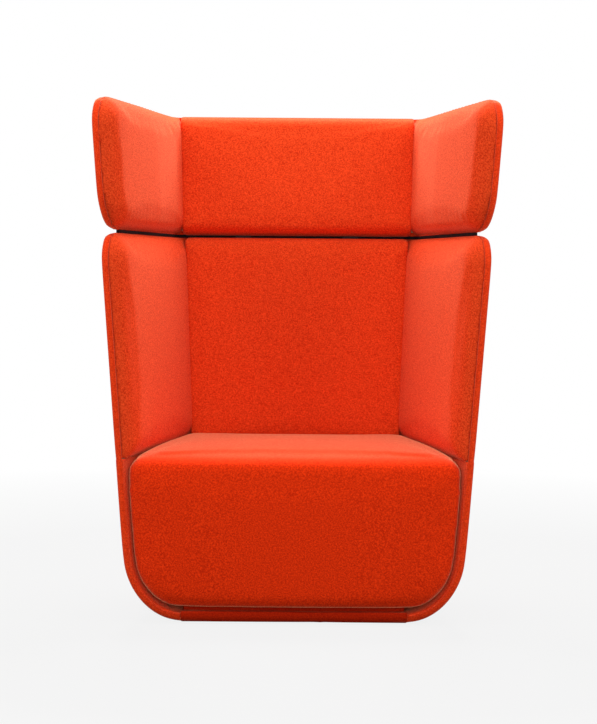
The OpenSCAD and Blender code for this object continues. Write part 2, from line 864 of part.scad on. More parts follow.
module seat_bolts() {
  place()
    color(steel_colour)
      at_seat_bolts()
        translate([0, 0, base_z]) {
          cylinder(r = bolt_head_r, h = bolt_head_h, $fn = facets);
          cylinder(r = bolt_r, h = seat_bolt_len, $fn = facets);
        }
}

// Seat springs: one wire each, run to and fro in half rings from the front board to the back one
spring_first_y = seat_front_y - board_t / 2;
spring_last_y = back_line(spring_top) - seat_back_o - board_t / 2;
spring_pitch = (spring_last_y - spring_first_y) / spring_loops;
spring_leg = spring_pitch * 0.9;
spring_spread_share = 0.88;
function spring_x(i) =
  let (reach = rail_w - spring_last_y * tan(rail_turn) - board_t - spring_leg / 2 - spring_pitch / 2)
  spring_spread_share * reach * (2 * i / (spring_count - 1) - 1);

// One unbroken wire along a flat path, with rings of points square to it
module wire(path, r, sides) {
  n = len(path);
  function way(i) = path[min(i + 1, n - 1)] - path[max(i - 1, 0)];
  rings = [
    for (i = [0 : n - 1])
      let (v = way(i), u = [v.y, -v.x] / norm(v))
        for (k = [0 : sides - 1])
          let (a = 360 * k / sides)
            [path[i].x + r * cos(a) * u.x, path[i].y + r * cos(a) * u.y, r * sin(a)]
  ];
  last = (n - 1) * sides;
  faces = concat(
    turned(ring_sides(0, n, sides)),
    [for (k = [1 : sides - 2]) [0, k + 1, k]],
    [for (k = [1 : sides - 2]) [last, last + k, last + k + 1]]
  );
  polyhedron(rings, faces, convexity = 20);
}
bend_steps = 4;
spring_line = concat(
  [[-spring_leg / 2, 0]],
  [
    for (k = [0 : spring_loops - 1])
      let (side = k % 2 == 0 ? 1 : -1)
        for (i = [0 : bend_steps])
          let (a = -90 + 180 * i / bend_steps)
            [side * (spring_leg + spring_pitch * cos(a)) / 2, spring_pitch * (k + (1 + sin(a)) / 2)]
  ],
  [[(spring_loops % 2 == 0 ? 1 : -1) * spring_leg / 2, spring_loops * spring_pitch]]
);
module one_spring() {
  wire(spring_line, spring_wire / 2, 6);
}
module seat_springs() {
  place()
    color(steel_colour)
      for (i = [0 : spring_count - 1])
        translate([spring_x(i), spring_first_y, spring_h]) one_spring();
}

// Steel clips that hold the end of each spring down on its board
clip_w = 14;
clip_t = 1.6;
clip_gap = spring_wire + 2 * clear;
module clip() {
  rotate([90, 0, 90])
    linear_extrude(clip_w, center = true)
      difference() {
        translate([-clip_gap / 2 - clip_t, 0])
          square([clip_gap + 2 * clip_t, clip_gap / 2 + spring_wire / 2 + clip_t]);
        translate([-clip_gap / 2, -over])
          square([clip_gap, clip_gap / 2 + spring_wire / 2 + over]);
      }
}
module spring_clips() {
  place()
    color(steel_colour)
      for (i = [0 : spring_count - 1])
        for (y = [spring_first_y, spring_last_y])
          translate([spring_x(i), y, spring_top]) clip();
}

module spring_felt() {
  felt_front = seat_front_y + clip_gap;
  felt_back = spring_last_y - clip_gap - clip_t - clear;
  function side(y) = rail_w - board_t / 2 - y * tan(rail_turn);
  place()
    color(dark_cloth)
      translate([0, 0, felt_z])
        linear_extrude(felt_t)
          polygon([
            [side(felt_front), felt_front], [side(felt_back), felt_back],
            [-side(felt_back), felt_back], [-side(felt_front), felt_front]
          ]);
}

// Hood

// Heights in the hood that follow its front corners, with the given distances from its edges
wing_low_shares = [0.2, 0.42, 0.68, 1];
function hood_heights(stops) =
  let (last = stops[len(stops) - 1])
  concat(
    [for (d = stops) hood_z + d],
    [for (k = wing_low_shares) hood_z + last + k * (wing_low_corner_r - last)],
    [(hood_z + wing_low_corner_r + top_z - wing_corner_r) / 2],
    [for (k = bend_shares) top_z - wing_corner_r + k * (wing_corner_r - last)],
    [for (i = [len(stops) - 1 : -1 : 0]) top_z - stops[i]]
  );
hood_levels = hood_heights(edge_stops);
function hood_edge(z) = min(top_z - z, z - hood_z);
function wing_start(z, inset) =
  wing_setback + inset
    + cut_back(top_z - inset - z, wing_corner_r - inset)
    + cut_back(z - hood_z - inset, wing_low_corner_r - inset);

module hood_side_cover() {
  between_skins(
    hood_levels, side_cols,
    function (z, s)
      hood_at(z, s, cover_face_o(min(s, 1) * edge_w, hood_edge(z)), wing_start(z, 0), edge_w),
    function (z, s)
      hood_at(z, s, cover_rear_o(s * edge_w, hood_edge(z)), wing_start(z, 0), edge_w)
  );
}
function hood_back_half(z, o) = hood_at(z, 3, o, 0, edge_w).x - clear;
module hood_back_skin(levels, o_front, o_rear) {
  between_skins(
    levels, [-1, 0, 1],
    function (z, c) [c * hood_back_half(z, o_front(z)), back_line(z) - o_front(z), z],
    function (z, c) [c * hood_back_half(z, o_rear(z)), back_line(z) - o_rear(z), z]
  );
}
module hood_back_cover() {
  place()
    color(body_colour)
      hood_back_skin(
        hood_levels,
        function (z) cover_face_o(edge_w, hood_edge(z)),
        function (z) cover_rear_o(edge_w, hood_edge(z))
      );
}

module hood_side_panel() {
  levels = concat(
    [for (k = panel_bend_shares) top_z - ply_t - (1 - k) * (wing_corner_r - ply_t)]
  );
  low_levels = [
    for (k = panel_bend_shares) hood_z + wing_low_corner_r - k * (wing_low_corner_r - ply_t)
  ];
  between_skins(
    concat([for (i = [len(low_levels) - 1 : -1 : 0]) low_levels[i]], levels), panel_shares,
    function (z, s) hood_at(z, s, ply_o, wing_start(z, ply_t), edge_w),
    function (z, s) hood_at(z, s, ply_in_o, wing_start(z, ply_t), edge_w)
  );
}
module hood_back_panel() {
  place()
    color(ply_colour)
      difference() {
        hood_back_skin(
          [hood_z + ply_t, top_z - ply_t], function (z) ply_o, function (z) ply_in_o);
        at_strap_bolts(true, false)
          translate([0, 0, -over])
            cylinder(r = bolt_r + clear, h = ply_t + 2 * over, $fn = facets);
      }
}

module hood_pad() {
  heights = hood_heights([for (k = round_shares) pad_round * k]);
  function fade(s, z) = swell(min(s, 1) * pad_round, pad_round) * swell(hood_edge(z), pad_round);
  function crown(s, z) =
    s <= 1 || s >= 2 ? 0 : pad_crown * sin(180 * (s - 1)) * sin(180 * (z - hood_z) / hood_h);
  between_skins(
    heights, pad_shares,
    function (z, s) hood_at(z, s, pad_o, wing_start(z, 0), pad_round),
    function (z, s)
      hood_at(z, mitred(s), pad_o + rim + (wing_wall_t - pad_o - rim) * fade(s, z) + crown(s, z),
              wing_start(z, 0), pad_round)
  );
}
hood_rise_shares = [0.2, 0.4, 0.6, 0.8];
module hood_back_pad() {
  heights = concat(
    [for (i = [0 : len(round_shares) - 2]) hood_z + pad_round * round_shares[i]],
    [hood_z + tuck - clear, hood_z + tuck, hood_z + pad_round],
    [for (k = hood_rise_shares) hood_z + pad_round + k * (hood_h - 2 * pad_round)],
    edge_heights(top_z)
  );
  function rear_o(z) = min(tucked_o(top_z - z, pad_o), tucked_o(z - hood_z, strap_o));
  function face_o(c, z) =
    back_pad_o + rim + (back_wall_t - back_pad_o - rim) * swell(hood_edge(z), pad_round)
      + pad_crown * across_crown(c) * sin(180 * (z - hood_z) / hood_h)
      - (abs(c) == 1 ? rim / 2 : 0);
  place()
    color(pad_colour)
      between_skins(
        heights, across_shares,
        function (z, c)
          [c * mitre_x(hood_half(z), wing_face_x(z, back_line(z) - back_corner_r), rear_o(z)),
           back_line(z) - rear_o(z), z],
        function (z, c)
          let (x = wing_face_x(z, back_line(z) - back_wall_t) - 2 * clear)
          [c * x, back_line(z) - face_o(c, z), z]
      );
}

hood_frame_low = hood_z + ply_t + edge_w;
hood_frame_high = top_z - ply_t - edge_w;
function hood_half(z) = hood_at(z, 3, 0, 0, edge_w).x;
module hood_corner_blocks() {
  place()
    color(wood_colour)
      both()
        leaning(hood_frame_low, pad_o, frame_in_o)
          post_outline(hood_frame_low, hood_frame_high, function (z) hood_half(z));
}
module hood_rails() {
  place()
    color(wood_colour)
      for (z = [hood_z + between_bolts + bolt_lift - rail_h / 2, hood_frame_high - rail_h - rim])
        leaning(z, pad_o + strap_t + clear, frame_in_o)
          polygon([
            [-hood_half(z) + post_w + clear, 0],
            [hood_half(z) - post_w - clear, 0],
            [hood_half(z + rail_h) - post_w - clear, slope(rail_h)],
            [-hood_half(z + rail_h) + post_w + clear, slope(rail_h)]
          ]);
}
hood_web_shares = [0.1, 0.4, 0.7];
module hood_webbing() {
  place()
    color(dark_cloth)
      for (k = hood_web_shares)
        let (z = hood_frame_low + k * (hood_frame_high - hood_frame_low))
          leaning(z, frame_in_o, web_in_o)
            translate([-hood_half(z) + web_t, 0])
              square([2 * (hood_half(z) - web_t), web_w]);
}

module hood_straps() {
  low = shell_h - strap_reach;
  long = slope(2 * strap_reach + hood_gap);
  place()
    color(steel_colour)
      both()
        leaning(low, pad_o, pad_o + strap_t)
          difference() {
            translate([strap_x - strap_w / 2, 0]) square([strap_w, long]);
            for (k = bolt_shares) {
              translate([strap_x, slope(strap_reach * (1 - k)) + bolt_lift])
                circle(r = bolt_r + clear, $fn = facets);
              translate([strap_x, slope(strap_reach * (1 + k) + hood_gap) + bolt_lift])
                circle(r = bolt_r + clear, $fn = facets);
            }
          }
}
module strap_bolts() {
  place()
    color(steel_colour)
      at_strap_bolts(true, true) {
        cylinder(r = bolt_r, h = ply_t + strap_t + bolt_head_h, $fn = facets);
        translate([0, 0, (pad_o + strap_t - ply_o) * cos(recline_deg)])
          cylinder(r = bolt_head_r, h = bolt_head_h, $fn = facets);
      }
}

// Black felt strip on which the hood rests, set back in the gap
module hood_spacer() {
  function line(o) = [
    for (s = concat([0], corner_shares))
      let (p = shell_at([90, shell_h], s, o, wing_setback + wing_low_corner_r, edge_w)) [p.x, p.y]
  ];
  function flipped(points) = [for (i = [len(points) - 1 : -1 : 0]) [-points[i].x, points[i].y]];
  outer = line(edge_w / 2);
  inner = line(edge_w - lean * hood_gap);
  n = len(inner);
  place()
    color(dark_cloth)
      translate([0, 0, shell_h])
        linear_extrude(hood_gap)
          polygon(concat(
            outer, flipped(outer), [for (i = [0 : n - 1]) [-inner[i].x, inner[i].y]],
            [for (i = [n - 1 : -1 : 0]) inner[i]]
          ));
}

module side_cover_left() { place() color(body_colour) mirrored(-1) side_cover(); }
module side_cover_right() { place() color(body_colour) side_cover(); }
module side_panel_left() { place() color(ply_colour) mirrored(-1) side_panel(); }
module side_panel_right() { place() color(ply_colour) side_panel(); }
module side_lining_left() { place() color(body_colour) mirrored(-1) side_lining(); }
module side_lining_right() { place() color(body_colour) side_lining(); }
module side_pad_left() { place() color(pad_colour) mirrored(-1) side_pad(); }
module side_pad_right() { place() color(pad_colour) side_pad(); }
module hood_side_panel_left() { place() color(ply_colour) mirrored(-1) hood_side_panel(); }
module hood_side_panel_right() { place() color(ply_colour) hood_side_panel(); }
module hood_cover_left() { place() color(body_colour) mirrored(-1) hood_side_cover(); }
module hood_cover_right() { place() color(body_colour) hood_side_cover(); }
module hood_pad_left() { place() color(pad_colour) mirrored(-1) hood_pad(); }
module hood_pad_right() { place() color(pad_colour) hood_pad(); }

glides();
glide_screws();
base_board();
dust_cover();
base_front_band();
side_panel_left();
side_panel_right();
back_panel();
back_posts();
back_rails();
back_webbing();
side_cover_left();
side_cover_right();
back_cover();
side_lining_left();
side_lining_right();
side_pad_left();
side_pad_right();
back_pad();
seat_front_board();
seat_back_board();
seat_side_rails();
seat_bolts();
seat_springs();
spring_clips();
spring_felt();
seat_foam();
seat_cover();
hood_straps();
strap_bolts();
hood_spacer();
hood_side_panel_left();
hood_side_panel_right();
hood_back_panel();
hood_rails();
hood_webbing();
hood_corner_blocks();
hood_cover_left();
hood_cover_right();
hood_back_cover();
hood_pad_left();
hood_pad_right();
hood_back_pad();
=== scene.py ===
import json
import math

import bpy
import numpy as np
from mathutils import Matrix, Vector

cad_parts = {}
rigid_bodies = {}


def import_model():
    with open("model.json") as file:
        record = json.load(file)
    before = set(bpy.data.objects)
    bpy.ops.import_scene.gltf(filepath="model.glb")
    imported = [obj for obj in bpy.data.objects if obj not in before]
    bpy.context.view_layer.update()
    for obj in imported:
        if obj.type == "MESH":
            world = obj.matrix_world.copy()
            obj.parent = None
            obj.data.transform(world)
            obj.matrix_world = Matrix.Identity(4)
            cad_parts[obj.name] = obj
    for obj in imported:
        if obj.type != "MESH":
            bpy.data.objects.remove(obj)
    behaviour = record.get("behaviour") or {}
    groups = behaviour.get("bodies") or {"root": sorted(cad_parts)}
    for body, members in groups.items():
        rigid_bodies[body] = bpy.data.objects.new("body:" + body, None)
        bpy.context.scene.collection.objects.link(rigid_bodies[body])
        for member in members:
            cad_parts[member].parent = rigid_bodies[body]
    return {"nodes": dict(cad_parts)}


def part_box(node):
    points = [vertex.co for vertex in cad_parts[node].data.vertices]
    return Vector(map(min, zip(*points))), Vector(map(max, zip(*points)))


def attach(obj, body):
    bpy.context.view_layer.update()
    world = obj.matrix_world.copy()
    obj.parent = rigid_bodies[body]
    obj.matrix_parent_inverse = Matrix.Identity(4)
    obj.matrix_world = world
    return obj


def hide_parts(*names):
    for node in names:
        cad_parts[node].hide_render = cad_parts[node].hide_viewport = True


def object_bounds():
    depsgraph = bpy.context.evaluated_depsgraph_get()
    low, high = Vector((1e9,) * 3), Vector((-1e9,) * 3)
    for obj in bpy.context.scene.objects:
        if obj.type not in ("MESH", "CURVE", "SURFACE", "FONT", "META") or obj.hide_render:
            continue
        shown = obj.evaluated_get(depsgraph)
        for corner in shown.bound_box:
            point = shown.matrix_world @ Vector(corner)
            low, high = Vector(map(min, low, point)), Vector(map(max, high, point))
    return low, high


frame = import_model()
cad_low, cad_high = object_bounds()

# Base board
# A board of birch plywood, 26 mm thick, cut to the outline of the foot. The glides, the seat's
# bolts and the moulded sides are all fixed to it.


def surface(name, roughness):
    """A new material, with its tree and its shader."""
    material = bpy.data.materials.new(name)
    material.use_nodes = True
    shader = material.node_tree.nodes["Principled BSDF"]
    shader.inputs["Roughness"].default_value = roughness
    return material, material.node_tree, shader


def stretched(tree, scale=(1, 1, 1)):
    """Object coordinates, stretched along each axis for grain that runs one way."""
    mapping = tree.nodes.new("ShaderNodeMapping")
    mapping.inputs["Scale"].default_value = scale
    tree.links.new(tree.nodes.new("ShaderNodeTexCoord").outputs["Object"], mapping.inputs["Vector"])
    return mapping.outputs["Vector"]


def noise(tree, place, scale, detail, roughness=0.5):
    spots = tree.nodes.new("ShaderNodeTexNoise")
    spots.inputs["Scale"].default_value = scale
    spots.inputs["Detail"].default_value = detail
    spots.inputs["Roughness"].default_value = roughness
    tree.links.new(place, spots.inputs["Vector"])
    return spots.outputs["Fac"]


def ramp(tree, amount, shades):
    """Colours along a ramp, each given as (share, colour)."""
    node = tree.nodes.new("ShaderNodeValToRGB")
    steps = node.color_ramp.elements
    while len(steps) < len(shades):
        steps.new(1)
    for step, (share, colour) in zip(steps, shades):
        step.position = share
        step.color = (*colour, 1)
    tree.links.new(amount, node.inputs["Fac"])
    return node.outputs["Color"]


def bump(tree, height, distance, strength, under=None):
    node = tree.nodes.new("ShaderNodeBump")
    node.inputs["Distance"].default_value = distance
    node.inputs["Strength"].default_value = strength
    tree.links.new(height, node.inputs["Height"])
    if under:
        tree.links.new(under, node.inputs["Normal"])
    return node.outputs["Normal"]


def mottled(name, roughness, shades, scale, detail, fineness=0.5, grain=(1, 1, 1),
            depth=0, relief=0, metal=0, gloss=0.5):
    """A material whose spots run between its shades and stand up by their depth."""
    material, tree, shader = surface(name, roughness)
    spots = noise(tree, stretched(tree, grain), scale, detail, fineness)
    tree.links.new(ramp(tree, spots, shades), shader.inputs["Base Color"])
    if depth:
        tree.links.new(bump(tree, spots, depth, relief), shader.inputs["Normal"])
    shader.inputs["Metallic"].default_value = metal
    shader.inputs["Specular IOR Level"].default_value = gloss
    return material


def timber(name, pale, dark, grain, roughness):
    return mottled(name, roughness, [(0.35, dark), (0.6, pale)], scale=30, detail=5, fineness=0.6,
                   grain=grain, depth=0.0003, relief=0.4)


def dress(nodes, material):
    """The CAD solids stay, and take this finish."""
    for node in nodes:
        for place in frame["nodes"][node].material_slots:
            place.link = "OBJECT"
            place.material = material


birch = timber("birch_plywood", (0.66, 0.47, 0.27), (0.5, 0.33, 0.17), grain=(1.2, 14, 14),
               roughness=0.6)
dress(["base_board"], birch)

# Dust cover
# A black cloth of spun polypropylene, stapled flat under the base board, with holes for the
# glides and for the heads of the seat's bolts.


def cloth(name, colour, threads, depth):
    shades = [(0.3, [c * 0.6 for c in colour]), (0.7, [min(1, c * 1.5) for c in colour])]
    return mottled(name, 0.95, shades, scale=60, detail=3, grain=threads, depth=depth, relief=0.7,
                   gloss=0.2)


def copied(node, name, material):
    """A copy of a CAD solid's mesh with its triangles merged, alone selected and active."""
    bpy.ops.object.select_all(action="DESELECT")
    piece = bpy.data.objects.new(name, frame["nodes"][node].data.copy())
    bpy.context.collection.objects.link(piece)
    piece.data.materials.clear()
    piece.data.materials.append(material)
    bpy.context.view_layer.objects.active = piece
    piece.select_set(True)
    bpy.ops.object.mode_set(mode="EDIT")
    bpy.ops.mesh.select_mode(type="EDGE")
    bpy.ops.mesh.select_all(action="SELECT")
    bpy.ops.mesh.remove_doubles(threshold=0.00005)
    bpy.ops.object.mode_set(mode="OBJECT")
    return piece


def placed(piece, node):
    """The piece rides on the chair's one body and stands for its CAD solid."""
    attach(piece, "root")
    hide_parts(node)
    return piece


def cut_piece(name, node, material, edge):
    """A flat piece of cloth or felt that keeps the CAD outline, with its edges softened."""
    piece = copied(node, name, material)
    bpy.ops.object.mode_set(mode="EDIT")
    bpy.ops.mesh.dissolve_limited(angle_limit=math.radians(1))
    bpy.ops.mesh.select_all(action="DESELECT")
    bpy.ops.mesh.edges_select_sharp(sharpness=math.radians(50))
    bpy.ops.mesh.bevel(offset=edge, segments=2, affect="EDGES", clamp_overlap=True)
    bpy.ops.object.mode_set(mode="OBJECT")
    bpy.ops.object.shade_smooth_by_angle(angle=math.radians(35))
    return placed(piece, node)


def stretched_cloth(name, node, material, thickness):
    """A cut piece of cloth, its edges softened by a share of its thickness. It also sums the
    volume of the CAD solid, which nothing uses."""
    edge_share = 0.3
    piece = cut_piece(name, node, material, edge_share * thickness)
    mesh = frame["nodes"][node].data
    mesh.calc_loop_triangles()
    spots = [v.co for v in mesh.vertices]
    corners = ([spots[v] for v in face.vertices] for face in mesh.loop_triangles)
    volume = sum(a.dot(b.cross(c)) for a, b, c in corners) / 6


spun = cloth("spun_cloth", (0.022, 0.022, 0.024), threads=(1, 1, 1), depth=0.0002)
stretched_cloth("dust_cloth", "dust_cover", spun, thickness=0.001)

# Glides
# Four black nylon glides, each held to the base board by one zinc-plated screw that is sunk
# into its underside.
nylon = mottled("black_nylon", 0.45, [(0.4, (0.014, 0.014, 0.015)), (0.75, (0.04, 0.04, 0.042))],
                scale=90, detail=5, fineness=0.6, depth=0.0002, relief=0.3)
dress(["glides"], nylon)
zinc = mottled("zinc_plating", 0.32, [(0.3, (0.42, 0.43, 0.45)), (0.7, (0.62, 0.63, 0.65))],
               scale=140, detail=4, fineness=0.6, depth=0.0001, relief=0.3, metal=1)
dress(["glide_screws"], zinc)

# Moulded panels
# The two sides and the back of the shell: beech veneers pressed and glued over a mould, 12 mm
# thick. They stand round the base board.
veneer = timber("moulded_veneer", (0.68, 0.46, 0.26), (0.52, 0.32, 0.16), grain=(12, 12, 1),
                roughness=0.55)
dress(["side_panel_left", "side_panel_right", "back_panel"], veneer)

# Back frame
# Upright posts and cross rails of solid beech inside the back panel, glued and screwed to it.
# They carry the webbing and the back pad.
beech = timber("solid_beech", (0.62, 0.4, 0.22), (0.48, 0.28, 0.14), grain=(9, 9, 1.5), roughness=0.6)
dress(["back_posts", "back_rails"], beech)

# Back webbing
# Straps of woven elastic webbing, stretched from post to post behind the back pad and stapled
# to the posts.
web_t = 0.00176
webbing = cloth("elastic_webbing", (0.02, 0.02, 0.022), threads=(1, 12, 12), depth=0.0005)
stretched_cloth("back_straps", "back_webbing", webbing, web_t)

# Seat frame
# Front and back boards of plywood and two side rails of beech, bolted through the base board
# with four bolts whose heads are under it.
dress(["seat_front_board", "seat_back_board"], birch)
dress(["seat_side_rails"], beech)
dress(["seat_bolts"], zinc)

# Seat springs
# Five zigzag springs of steel wire, run from the front board to the back board and held down
# by a steel clip at each end. A needled felt lies over them.
wire = mottled("phosphated_wire", 0.4, [(0.3, (0.12, 0.12, 0.13)), (0.7, (0.24, 0.24, 0.25))],
               scale=200, detail=3, metal=1)
dress(["seat_springs"], wire)
dress(["spring_clips"], zinc)
felt = cloth("needled_felt", (0.012, 0.012, 0.013), threads=(1, 1, 1), depth=0.0008)
stretched_cloth("spring_pad", "spring_felt", felt, thickness=0.004)

# Seat foam
# A block of cold-cured foam, cut round the seat frame and glued to it. Its upper edges are
# rounded and its top is crowned.
foam = mottled("cold_cured_foam", 0.95, [(0.3, (0.62, 0.54, 0.34)), (0.7, (0.86, 0.79, 0.56))],
               scale=600, detail=4, fineness=0.7, depth=0.001, relief=0.8)


def quads(sharp_deg=42):
    """Joins the triangles of the piece in edit mode to quads and creases its sharp edges."""
    bpy.ops.mesh.select_all(action="SELECT")
    bpy.ops.mesh.tris_convert_to_quads(face_threshold=math.radians(50),
                                       shape_threshold=math.radians(80))
    bpy.ops.mesh.select_mode(type="EDGE")
    bpy.ops.mesh.select_all(action="DESELECT")
    bpy.ops.mesh.edges_select_sharp(sharpness=math.radians(sharp_deg))
    bpy.ops.transform.edge_crease(value=1)


def rounded(piece, levels):
    rounding = piece.modifiers.new("rounding", "SUBSURF")
    rounding.levels = levels
    rounding.render_levels = levels
    bpy.ops.object.modifier_apply(modifier="rounding")


def grown(piece, distance):
    """Moves the whole skin out along its normals, or in where the distance is below zero."""
    skin = piece.modifiers.new("skin", "DISPLACE")
    skin.mid_level = 0
    skin.strength = distance
    bpy.ops.object.modifier_apply(modifier="skin")


def eased(value, start, reach):
    """0 up to the start, 1 from start + reach on, and in proportion between them."""
    return min(1, max(0, (value - start) / reach))


def sloped(piece, pull):
    """The seat's top falls a little toward the front, where its edge is drawn in by pull."""
    fall = 0.016
    fall_start, fall_reach = 0.05, 0.36
    side_z, side_h = 0.3, 0.13
    edge_start, edge_reach = 0.335, 0.06
    edge_z, edge_h = 0.34, 0.05
    for v in piece.data.vertices:
        slope = eased(-v.co.y, fall_start, fall_reach) ** 2
        v.co.z -= fall * slope * eased(v.co.z, side_z, side_h)
        edge = eased(-v.co.y, edge_start, edge_reach) * eased(v.co.z, edge_z, edge_h)
        v.co.y += pull * edge
        v.co.z -= pull * edge


foam_inset = 0.005
edge_pull = 0.016
block = copied("seat_foam", "foam_block", foam)
bpy.ops.object.mode_set(mode="EDIT")
quads()
bpy.ops.object.mode_set(mode="OBJECT")
rounded(block, levels=1)
grown(block, -foam_inset)
sloped(block, edge_pull)
bpy.ops.object.shade_smooth_by_angle(angle=math.radians(40))
placed(block, "seat_foam")

# Outer covers of the shell
# Felted wool backed with thin foam, glued to the outside of the moulded plywood. Each panel
# wraps round its front or upper edge, to the seam that it shares with the inner pads, and those
# of the sides have a seam beside the seat.


def wool(name, dark, light, sheen):
    """Felted wool of mixed fibres: mottled in two sizes, with a nap that pales at a slant."""
    material, tree, shader = surface(name, 0.95)
    place = stretched(tree)
    mixed = tree.nodes.new("ShaderNodeMix")
    mixed.inputs["Factor"].default_value = 0.5
    tree.links.new(noise(tree, place, scale=260, detail=2, roughness=0.6), mixed.inputs["A"])
    tree.links.new(noise(tree, place, scale=700, detail=3, roughness=0.7), mixed.inputs["B"])
    fibres = mixed.outputs["Result"]
    tree.links.new(ramp(tree, fibres, [(0.4, dark), (0.6, light)]), shader.inputs["Base Color"])
    lumps = noise(tree, place, scale=45, detail=2)
    felting = bump(tree, lumps, distance=0.0006, strength=0.2)
    tree.links.new(bump(tree, fibres, 0.0005, 0.6, felting), shader.inputs["Normal"])
    shader.inputs["Specular IOR Level"].default_value = 0.04
    nap = tree.nodes.new("ShaderNodeMapRange")
    nap.inputs["From Min"].default_value = 0.38
    nap.inputs["From Max"].default_value = 0.62
    nap.inputs["To Min"].default_value = 0.55 * sheen
    nap.inputs["To Max"].default_value = 1.45 * sheen
    tree.links.new(fibres, nap.inputs["Value"])
    tree.links.new(nap.outputs["Result"], shader.inputs["Sheen Weight"])
    shader.inputs["Sheen Roughness"].default_value = 0.35
    shader.inputs["Sheen Tint"].default_value = (1, 0.5, 0.27, 1)
    return material


def drawn_in(piece, outward, width, depth):
    """Draws the rim of the outer face in, where the seam pulls it, with the piece in edit mode."""
    bpy.ops.mesh.select_mode(type="FACE")
    bpy.ops.mesh.select_all(action="DESELECT")
    bpy.ops.object.mode_set(mode="OBJECT")
    mesh = piece.data
    way_out = Vector(outward)
    seed = max(mesh.polygons, key=lambda face: face.normal.dot(way_out) * face.area)
    seed.select = True
    bpy.ops.object.mode_set(mode="EDIT")
    bpy.ops.mesh.faces_select_linked_flat(sharpness=math.radians(38))
    bpy.ops.object.mode_set(mode="OBJECT")
    uses = {}
    for face in mesh.polygons:
        for key in face.edge_keys:
            uses.setdefault(key, []).append(face.select)
    rim = {v for key, chosen in uses.items() if len(set(chosen)) == 2 for v in key}
    ways = {}
    for face in mesh.polygons:
        if face.select:
            for v in face.vertices:
                if v in rim:
                    ways[v] = ways.get(v, Vector()) + face.normal * face.area
    bpy.ops.object.mode_set(mode="EDIT")
    bpy.ops.mesh.inset(thickness=width, depth=0, use_boundary=False, use_even_offset=True)
    bpy.ops.object.mode_set(mode="OBJECT")
    for v, way in ways.items():
        mesh.vertices[v].co -= way.normalized() * depth
    bpy.ops.object.mode_set(mode="EDIT")


def sewn_across(piece, axis, place):
    """A seam that crosses the piece square to one axis: a fine groove in its skin."""
    half_w, depth = 0.002, 0.002
    near = 0.00001
    way = Vector([float(k == axis) for k in range(3)])
    for off in (-half_w, 0, half_w):
        bpy.ops.mesh.select_all(action="SELECT")
        bpy.ops.mesh.bisect(plane_co=way * (place + off), plane_no=way)
    bpy.ops.object.mode_set(mode="OBJECT")
    for v in piece.data.vertices:
        if abs(v.co[axis] - place) < near:
            v.co -= v.normal * depth
    bpy.ops.object.mode_set(mode="EDIT")


def covered(name, node, material, outward, seam=None):
    """A skin of wool on its thin foam, rounded, with its rim drawn into the seams."""
    piece = copied(node, name, material)
    bpy.ops.object.mode_set(mode="EDIT")
    quads()
    drawn_in(piece, outward, width=0.003, depth=0.0012)
    if seam:
        sewn_across(piece, *seam)
    bpy.ops.object.mode_set(mode="OBJECT")
    rounded(piece, levels=2)
    bpy.ops.object.shade_smooth_by_angle(angle=math.radians(50))
    placed(piece, node)
    return piece


x_axis, z_axis = 0, 2
to_left, to_right = (-1, 0, 0), (1, 0, 0)
to_front, to_back = (0, -1, 0), (0, 1, 0)
# A lighter copy of the chair's one wool, as painted light on the edges and corners of the covers.
shell_wool = wool("shell_wool", (0.64, 0.024, 0.003), (1, 0.07, 0.012), sheen=0.65)
beside_seat = (z_axis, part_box("side_pad_left")[0].z)
covered("side_wool_left", "side_cover_left", shell_wool, to_left, beside_seat)
covered("side_wool_right", "side_cover_right", shell_wool, to_right, beside_seat)
covered("back_wool", "back_cover", shell_wool, to_back)

# Foot band
# Wool glued along the front edge of the foot and joined by one upright seam, darker than the
# shell's wool as painted shade under the seat block. Above its rounded lip it steps back under the
# seat block.
lip_top, lip_round = 0.033, 0.004
step_back, front_part = 0.016, -0.375
foot_seam = (x_axis, 0.067)
# A darker copy of the wool with little sheen: painted shade on the band under the seat.
shaded_foot_wool = wool("shaded_foot_wool", (0.38, 0.009, 0.001), (0.6, 0.026, 0.003), sheen=0.15)
band = covered("foot_band", "base_front_band", shaded_foot_wool, to_front, foot_seam)
for v in band.data.vertices:
    if v.co.y < front_part:
        v.co.y += step_back * eased(v.co.z, lip_top, lip_round)

# Side linings
# Plain wool glued inside the side panels below the inner pads, beside the seat block. Only a
# narrow strip of each shows.
covered("lining_left", "side_lining_left", shell_wool, to_right)
covered("lining_right", "side_lining_right", shell_wool, to_left)

# Inner pads of the shell
# Foam in a sewn wool cover, fixed to the plywood of each side and to the webbing of the back.
# The wool is stretched over the foam, and its seams pull it in round the edges.


def places(piece):
    spots = np.empty(3 * len(piece.data.vertices))
    piece.data.vertices.foreach_get("co", spots)
    return spots.reshape(-1, 3)


def normals(piece):
    ways = np.empty(3 * len(piece.data.vertices))
    piece.data.vertex_normals.foreach_get("vector", ways)
    return ways.reshape(-1, 3)


def moved_to(piece, spots):
    piece.data.vertices.foreach_set("co", spots.ravel())
    piece.data.update()


def grouped(piece, name, chosen):
    """Puts the chosen vertices in a group and gives its name back."""
    group = piece.vertex_groups.new(name=name)
    group.add([int(i) for i in np.nonzero(chosen)[0]], 1, "REPLACE")
    return name


def smoothed(piece, times, chosen=None):
    """Smooths the whole piece, or only the chosen vertices of it."""
    smooth = piece.modifiers.new("smooth", "SMOOTH")
    smooth.factor = 0.5
    smooth.iterations = times
    if chosen is not None:
        smooth.vertex_group = grouped(piece, "chosen", chosen)
    bpy.ops.object.modifier_apply(modifier="smooth")
    piece.vertex_groups.clear()


def even_mesh(piece, voxel, smoothing):
    """An even mesh over the same form, so that the cloth can move alike everywhere."""
    remesh = piece.modifiers.new("even", "REMESH")
    remesh.mode = "VOXEL"
    remesh.voxel_size = voxel
    bpy.ops.object.modifier_apply(modifier="even")
    smoothed(piece, smoothing)


